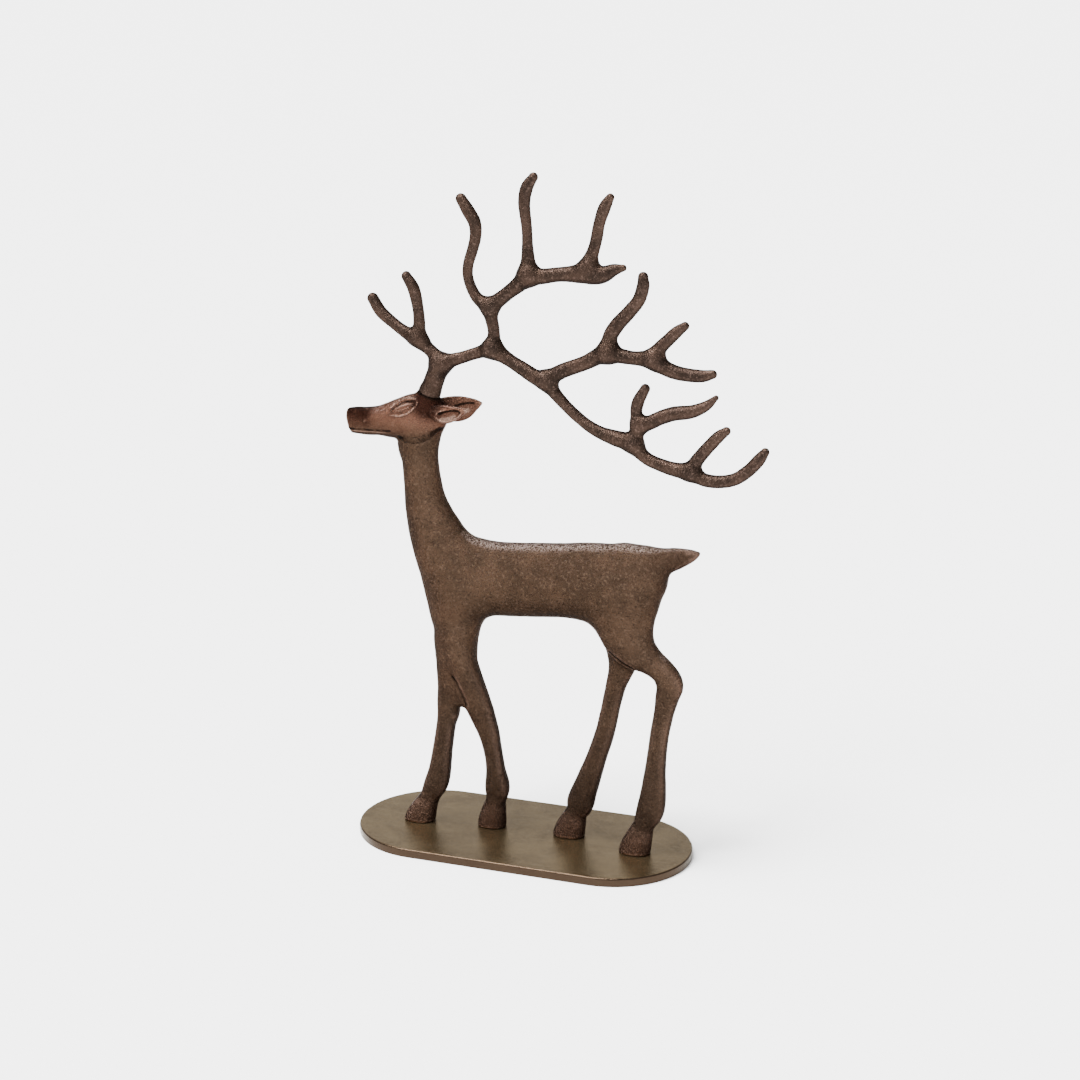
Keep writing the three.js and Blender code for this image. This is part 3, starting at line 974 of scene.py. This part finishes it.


# The value by which hollows get painted shade and edges are lightened, partly as wear and partly as painted
# highlight
def edge_wear_and_hollow_shade(points, block, reach, gain):
    """From 0 in a hollow, through 0.5 on a flat place, to 1 on a sharp edge."""
    around = np.zeros(len(points))
    for axis in np.eye(3) * reach:
        around += block.at(points + axis) + block.at(points - axis)
    bend = around / 6 - block.at(points)
    return np.clip(0.5 + bend * gain, 0, 1)


def mark_lines(painted_light_and_wear, points):
    """Paints shadow and highlight along the marked lines of the head, in the value of wear and painted light.
    """
    for line, closed, width, value in HEAD_MARKS:
        found = np.full(len(points), FAR)
        for place in curve_points(line, closed, MARK_SPACING):
            found = np.minimum(found, np.hypot(points[:, 0] - place[0], points[:, 2] - place[1]))
        share = np.clip(MARK_FADE - found / width, 0, 1)
        painted_light_and_wear = painted_light_and_wear * (1 - share) + value * share
    return painted_light_and_wear


def piece(name, mesh, node, material):
    obj = bpy.data.objects.new(name, mesh)
    bpy.context.scene.collection.objects.link(obj)
    mesh.materials.append(material)
    mesh.shade_smooth()
    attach(obj, "root")
    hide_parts(node)
    return obj


def cast(name, block, fine, lumps, node, material):
    """Meshes one casting, gives its skin the unevenness of the sand mould and puts it in the frame. fine is
    the finer block of its head, if it has one."""
    mesh = skin_mesh(name, block)
    if fine is not None:
        eye = eye_middle()
        refine(mesh, lambda place: place.z > HEAD_FLOOR)
        refine(mesh, lambda place: (place - eye).xz.length < EYE_REACH)
    points = mesh_points(mesh)
    if fine is None:
        points = settle(points, block)
    else:
        high = points[:, 2] > HEAD_FLOOR
        points[high] = settle(points[high], fine)
        points[~high] = settle(points[~high], block)
    slope = block.slope(points)
    slope /= np.maximum(np.linalg.norm(slope, axis=1, keepdims=True), 1e-6)
    rise = np.zeros(len(points))
    for number, (scale, octaves, height) in enumerate(lumps):
        rise += height * grain(points, scale, octaves, number + 1)
    points += slope * rise[:, None]
    points[:, 2] = np.maximum(points[:, 2], PLATE_TOP)
    set_mesh_points(mesh, points * METRE)
    # Wear and painted light: edges lightened as wear and painted highlight, hollows darkened as painted shade;
    # on the head the marked lines get painted shadow or painted highlight
    painted_light_and_wear = np.minimum(edge_wear_and_hollow_shade(points, block, WEAR_AND_SHADE_REACH, WEAR_AND_SHADE_GAIN), WEAR_AND_SHADE_TOP)
    if fine is not None:
        painted_light_and_wear[high] = mark_lines(edge_wear_and_hollow_shade(points[high], fine, LINE_REACH, LINE_GAIN), points[high])
    wear_and_painted_light = mesh.attributes.new("wear_and_painted_light", "FLOAT", "POINT")
    wear_and_painted_light.data.foreach_set("value", painted_light_and_wear)
    return piece(name, mesh, node, material)


def cast_plate(material):
    """The long plate with round ends and a rounded upper rim, as rings from the underside to its middle."""
    low, high = PLATE_LOW * 1000, PLATE_HIGH * 1000
    radius = high.y
    straight = high.x - radius
    turns = np.linspace(-0.5, 0.5, PLATE_ARC_PARTS + 1) * math.pi
    along = np.linspace(-straight, straight, PLATE_SIDE_PARTS + 1)[1:-1]
    right = [(straight, 0.0, math.cos(t), math.sin(t)) for t in turns]
    back = [(-x, 0.0, 0.0, 1.0) for x in along]
    left = [(-straight, 0.0, -math.cos(t), -math.sin(t)) for t in turns]
    front = [(x, 0.0, 0.0, -1.0) for x in along]
    outline = np.array(right + back + left + front)
    rim = [(inset, low.z + rise) for inset, rise in PLATE_FOOT]
    rim += [(0.0, z) for z in np.linspace(low.z + PLATE_EDGE, high.z - PLATE_EDGE, PLATE_SIDE_RINGS)]
    for t in np.linspace(0, 0.5, PLATE_EDGE_RINGS)[1:] * math.pi:
        rim.append((PLATE_EDGE * (1 - math.cos(t)), high.z - PLATE_EDGE * (1 - math.sin(t))))
    rim += [(inset, high.z) for inset in np.linspace(PLATE_EDGE, radius, PLATE_RINGS)[1:]]
    points = []
    for inset, z in rim:
        ring = outline[:, :2] + outline[:, 2:] * (radius - inset)
        points.append(np.column_stack([ring, np.full(len(ring), z)]))
    points = np.vstack(points)
    count = len(outline)
    faces = []
    for ring in range(len(rim) - 1):
        for place in range(count):
            after = (place + 1) % count
            a, b = ring * count + place, ring * count + after
            faces.append((a, b, b + count, a + count))
    faces.append(tuple(range(count))[::-1])
    mesh = bpy.data.meshes.new("plate_casting")
    side = (points[:, 2] > low.z + 0.4) & (points[:, 2] < high.z)
    size, depth = PLATE_WAVES
    uneven = depth * grain(points, size, 2, 7)
    points[side, :2] *= 1 - np.maximum(uneven[side], 0)[:, None] / radius
    top = points[:, 2] > high.z - 0.01
    size, depth = PLATE_DIPS
    points[top, 2] += np.minimum(depth * grain(points[top], size, 2, 8), 0)
    mesh.from_pydata((points * METRE).tolist(), [], faces)
    bm = bmesh.new()
    bm.from_mesh(mesh)
    bmesh.ops.remove_doubles(bm, verts=bm.verts, dist=1e-6)
    bm.to_mesh(mesh)
    bm.free()
    return piece("plate_casting", mesh, "base_plate", material)


# Finishes


class Finish:
    """A material and the nodes that feed its one shader."""

    def __init__(self, name):
        self.material = bpy.data.materials.new(name)
        self.material.use_nodes = True
        self.nodes = self.material.node_tree.nodes
        self.links = self.material.node_tree.links
        self.shader = self.nodes["Principled BSDF"]
        self.place = self.nodes.new("ShaderNodeTexCoord").outputs["Object"]

    def feed(self, socket, value):
        if isinstance(value, bpy.types.NodeSocket):
            self.links.new(value, socket)
        else:
            socket.default_value = value

    def noise(self, size, detail=2.0, rough=0.55, warp=0.0, stretch=None):
        """Noise from 0 to 1 with lumps of about size millimetres."""
        node = self.nodes.new("ShaderNodeTexNoise")
        place = self.place
        if stretch:
            mapping = self.nodes.new("ShaderNodeMapping")
            self.links.new(self.place, mapping.inputs["Vector"])
            mapping.inputs["Scale"].default_value = stretch
            place = mapping.outputs["Vector"]
        self.links.new(place, node.inputs["Vector"])
        node.inputs["Scale"].default_value = 1000 / size
        node.inputs["Detail"].default_value = detail
        node.inputs["Roughness"].default_value = rough
        node.inputs["Distortion"].default_value = warp
        return node.outputs["Fac"]

    def attribute(self, name):
        node = self.nodes.new("ShaderNodeAttribute")
        node.attribute_name = name
        return node.outputs["Fac"]

    def math(self, kind, a, b=0.0):
        node = self.nodes.new("ShaderNodeMath")
        node.operation = kind
        self.feed(node.inputs[0], a)
        self.feed(node.inputs[1], b)
        return node.outputs[0]

    def spread(self, value, start, end, low=0.0, high=1.0):
        """value between start and end, smoothly turned into low to high."""
        node = self.nodes.new("ShaderNodeMapRange")
        node.interpolation_type = "SMOOTHSTEP"
        for socket, number in zip(node.inputs[:5], (value, start, end, low, high)):
            self.feed(socket, number)
        return node.outputs[0]

    def mix(self, share, a, b):
        node = self.nodes.new("ShaderNodeMix")
        node.data_type = "RGBA"
        self.feed(node.inputs[0], share)
        self.feed(node.inputs[6], a)
        self.feed(node.inputs[7], b)
        return node.outputs[2]

    def axis(self, name):
        node = self.nodes.new("ShaderNodeSeparateXYZ")
        self.links.new(self.place, node.inputs[0])
        return node.outputs[name]

    def facing(self, name):
        """From -1 to 1: how far the surface faces along an axis."""
        normal = self.nodes.new("ShaderNodeNewGeometry").outputs["Normal"]
        node = self.nodes.new("ShaderNodeSeparateXYZ")
        self.links.new(normal, node.inputs[0])
        return node.outputs[name]

    def ball(self, centre, radius, soft):
        """1 inside a ball, in millimetres, falling to 0 over the soft distance outside it."""
        node = self.nodes.new("ShaderNodeVectorMath")
        node.operation = "DISTANCE"
        self.links.new(self.place, node.inputs[0])
        node.inputs[1].default_value = [c * METRE for c in centre]
        return self.spread(node.outputs["Value"], (radius + soft) * METRE, radius * METRE)

    def bump(self, height, distance, strength=1.0, after=None):
        node = self.nodes.new("ShaderNodeBump")
        node.inputs["Strength"].default_value = strength
        node.inputs["Distance"].default_value = distance * METRE
        self.links.new(height, node.inputs["Height"])
        if after is not None:
            self.links.new(after, node.inputs["Normal"])
        return node.outputs["Normal"]

    def finish(self, colour, roughness, metal, normal=None, edge=NO_TINT):
        self.feed(self.shader.inputs["Base Color"], colour)
        self.feed(self.shader.inputs["Roughness"], roughness)
        self.feed(self.shader.inputs["Metallic"], metal)
        self.feed(self.shader.inputs["Specular Tint"], edge)
        if normal is not None:
            self.feed(self.shader.inputs["Normal"], normal)
        return self.material


def tone(red, green, blue):
    """A colour given as on a screen, from 0 to 255, as the shader's linear one."""
    parts = [c / 255 for c in (red, green, blue)]
    linear = [c / 12.92 if c <= 0.04045 else ((c + 0.055) / 1.055) ** 2.4 for c in parts]
    return (*linear, 1.0)


def body_bronze():
    look = Finish("body_bronze")
    clouds = look.noise(24, 4, 0.6)
    mottle = look.noise(2.0, 4, 0.75)
    pits = look.noise(1.1, 3, 0.65)
    speck = look.noise(0.6, 2, 0.6)
    wear_and_painted_light = look.attribute("wear_and_painted_light")
    height = look.axis("Z")
    up = look.facing("Z")
    colour = look.mix(look.spread(clouds, 0.35, 0.65), tone(46, 35, 27), tone(59, 45, 35))
    colour = look.mix(look.spread(mottle, 0.5, 0.68, 0.0, 0.5), colour, tone(88, 72, 60))
    colour = look.mix(look.spread(pits, 0.47, 0.36, 0.0, 0.7), colour, tone(22, 14, 10))
    # Painted highlight: surfaces facing up are speckled with a pale pinkish grey, where the overhead light
    # falls
    painted_top_highlight = look.math("MULTIPLY", look.spread(up, 0.62, 0.93), look.spread(pits, 0.46, 0.56))
    colour = look.mix(look.math("MULTIPLY", painted_top_highlight, 0.9), colour, tone(132, 117, 110))
    # Painted shade: surfaces facing down are darkened
    painted_underside_shade = look.spread(up, -0.05, -0.75)
    colour = look.mix(look.math("MULTIPLY", painted_underside_shade, 0.35), colour, tone(24, 15, 10))
    lower = look.spread(height, *LEG_SHADE)
    colour = look.mix(look.math("MULTIPLY", lower, 0.55), colour, tone(32, 25, 20))
    rear = look.spread(look.axis("X"), *TAIL_SHADE, 0.0, 0.55)
    colour = look.mix(look.math("MULTIPLY", rear, look.spread(height, *RUMP_SHADE)), colour, tone(34, 24, 18))
    head = look.spread(height, *HEAD_SHADE)
    colour = look.mix(look.math("MULTIPLY", head, 0.45), colour, tone(96, 64, 52))
    muzzle = look.math("MULTIPLY", look.spread(look.axis("X"), *MUZZLE_SHADE), head)
    patch = look.math("MULTIPLY", muzzle, look.spread(look.noise(9, 3, 0.6), 0.2, 0.4))
    colour = look.mix(look.math("MULTIPLY", patch, 0.95), colour, tone(20, 6, 3))
    crown = look.ball(CROWN_SPOT, CROWN_REACH, CROWN_FADE)
    colour = look.mix(look.math("MULTIPLY", crown, 0.92), colour, tone(22, 8, 5))
    hooves = look.spread(height, *HOOF_SHADE)
    colour = look.mix(look.math("MULTIPLY", hooves, 0.6), colour, tone(66, 50, 42))
    # Wear and painted light: edges lightened, partly wear and partly painted highlight; hollows and the head's
    # dark lines get painted shade
    colour = look.mix(look.spread(wear_and_painted_light, 0.58, 0.95, 0.0, 0.75), colour, tone(128, 104, 92))
    colour = look.mix(look.spread(wear_and_painted_light, 0.42, 0.1, 0.0, 0.92), colour, tone(14, 8, 5))
    gloss = look.math("MAXIMUM", look.math("MAXIMUM", hooves, crown), head)
    roughness = look.spread(speck, 0.35, 0.65, 0.26, 0.42)
    roughness = look.math("SUBTRACT", roughness, look.math("MULTIPLY", gloss, 0.11))
    normal = look.bump(speck, 0.35, 1.0)
    normal = look.bump(pits, 1.0, 1.0, normal)
    normal = look.bump(mottle, 1.2, 0.7, normal)
    return look.finish(colour, roughness, BODY_METAL, normal, EDGE_TINT)


def antler_bronze():
    look = Finish("antler_bronze")
    clouds = look.noise(16, 3, 0.6)
    mottle = look.noise(1.5, 4, 0.7)
    speck = look.noise(0.8, 3, 0.7)
    wear_and_painted_light = look.attribute("wear_and_painted_light")
    up = look.facing("Z")
    colour = look.mix(look.spread(clouds, 0.35, 0.65), tone(30, 23, 19), tone(46, 35, 29))
    colour = look.mix(look.spread(mottle, 0.52, 0.68, 0.0, 0.5), colour, tone(88, 72, 64))
    # Wear and painted light: edges lightened, partly wear and partly painted highlight; hollows darkened as
    # painted shade
    colour = look.mix(look.spread(wear_and_painted_light, 0.6, 0.95, 0.0, 0.4), colour, tone(92, 74, 66))
    colour = look.mix(look.spread(wear_and_painted_light, 0.46, 0.15, 0.0, 0.85), colour, tone(14, 9, 7))
    # Painted shade: surfaces facing down are darkened
    colour = look.mix(look.spread(up, -0.2, -0.8, 0.0, 0.5), colour, tone(16, 10, 8))
    roughness = look.spread(mottle, 0.35, 0.65, 0.32, 0.18)
    normal = look.bump(speck, 0.3, 0.8)
    normal = look.bump(mottle, 0.8, 0.7, normal)
    return look.finish(colour, roughness, BODY_METAL, normal, EDGE_TINT)


def plate_bronze():
    look = Finish("plate_bronze")
    clouds = look.noise(28, 4, 0.65, 0.6)
    mottle = look.noise(1.6, 4, 0.75)
    up = look.facing("Z")
    colour = look.mix(look.spread(clouds, 0.35, 0.65), tone(88, 73, 52), tone(106, 90, 66))
    colour = look.mix(look.spread(mottle, 0.42, 0.66, 0.0, 0.5), colour, tone(122, 105, 80))
    scratch = look.spread(look.noise(0.6, 1, 0.5, 0.0, (0.03, 1.0, 1.0)), 0.66, 0.72, 0.0, 0.5)
    colour = look.mix(scratch, colour, tone(146, 130, 108))
    # Painted shade: the plate is darkened where it faces away from straight up, on its rounded rim and its side
    colour = look.mix(look.spread(up, 0.995, 0.85, 0.0, 0.93), colour, tone(38, 27, 20))
    roughness = look.spread(mottle, 0.35, 0.65, 0.14, 0.24)
    normal = look.bump(mottle, 0.13, 0.7)
    normal = look.bump(look.noise(0.7, 2, 0.7), 0.18, 0.7, normal)
    return look.finish(colour, roughness, PLATE_METAL, normal, PLATE_TINT)


# The studio


def studio_floor():
    mesh = bpy.data.meshes.new("studio_floor")
    mesh.from_pydata([(-FLOOR, -FLOOR, 0), (FLOOR, -FLOOR, 0), (FLOOR, FLOOR, 0), (-FLOOR, FLOOR, 0)], [],
                     [(0, 1, 2, 3)])
    floor = bpy.data.objects.new("studio_floor", mesh)
    bpy.context.scene.collection.objects.link(floor)
    paint = Finish("studio_white")
    shade = paint.spread(paint.noise(4000), 0.0, 1.0, *FLOOR_SHADE)
    mesh.materials.append(paint.finish(shade, 0.9, 0.0))


def sun(name, azimuth, elevation, spread, power):
    """A soft distant lamp. The azimuth is counted as the camera's: 0 is in front, 90 to the right."""
    light = bpy.data.lights.new(name, "SUN")
    light.angle = math.radians(spread)
    light.energy = power
    obj = bpy.data.objects.new(name, light)
    turn, rise = math.radians(azimuth), math.radians(elevation)
    source = Vector((math.sin(turn) * math.cos(rise), -math.cos(turn) * math.cos(rise), math.sin(rise)))
    obj.rotation_euler = source.to_track_quat("Z", "Y").to_euler()
    bpy.context.scene.collection.objects.link(obj)


def studio_light():
    world = bpy.data.worlds.new("studio_white")
    bpy.context.scene.world = world
    world.use_nodes = True
    backdrop = world.node_tree.nodes["Background"]
    backdrop.inputs["Color"].default_value = (1, 1, 1, 1)
    backdrop.inputs["Strength"].default_value = WORLD_STRENGTH
    for lamp in LAMPS:
        sun(*lamp)


def studio_camera():
    """The camera of the photograph, found from the outline of the plate."""
    azimuth, elevation = math.radians(CAMERA_AZIMUTH), math.radians(CAMERA_ELEVATION)
    back = Vector((math.sin(azimuth) * math.cos(elevation), -math.cos(azimuth) * math.cos(elevation),
                   math.sin(elevation)))
    right = Vector((math.cos(azimuth), math.sin(azimuth), 0))
    up = back.cross(right)
    place = back * CAMERA_BACK + right * CAMERA_RIGHT + up * CAMERA_UP + Vector(CAMERA_AIM)
    lens = bpy.data.cameras.new("camera")
    lens.sensor_width = CAMERA_SENSOR
    lens.lens = CAMERA_LENS
    camera = bpy.data.objects.new("camera", lens)
    camera.matrix_world = Matrix.Translation(place) @ Matrix((right, up, back)).transposed().to_4x4()
    bpy.context.scene.collection.objects.link(camera)
    bpy.context.scene.camera = camera


# Everything together

antler_low, antler_high = (corner * 1000 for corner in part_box("antler"))
body_low, body_high = (corner * 1000 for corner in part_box("reindeer"))
edge = Vector((BLOCK_EDGE,) * 3)

antler_block = Block(antler_low - edge, antler_high + edge, ANTLER_STEP)
form_antler(antler_block)
cast("antler_casting", antler_block, None, ANTLER_LUMPS, "antler", antler_bronze())

body_block = Block(body_low - edge, body_high + edge, BODY_STEP)
form_reindeer(body_block, BODY_RELIEF, sides=[-1])
head_low = Vector((body_low.x, body_low.y, HEAD_FLOOR))
head_high = Vector((HEAD_BACK, body_high.y, body_high.z))
head_block = Block(head_low - edge, head_high + edge, HEAD_STEP)
form_reindeer(head_block, HEAD_RELIEF, sides=[-1, 1])
cast("reindeer_casting", body_block, head_block, BODY_LUMPS, "reindeer", body_bronze())

cast_plate(plate_bronze())
studio_floor()
studio_light()
studio_camera()
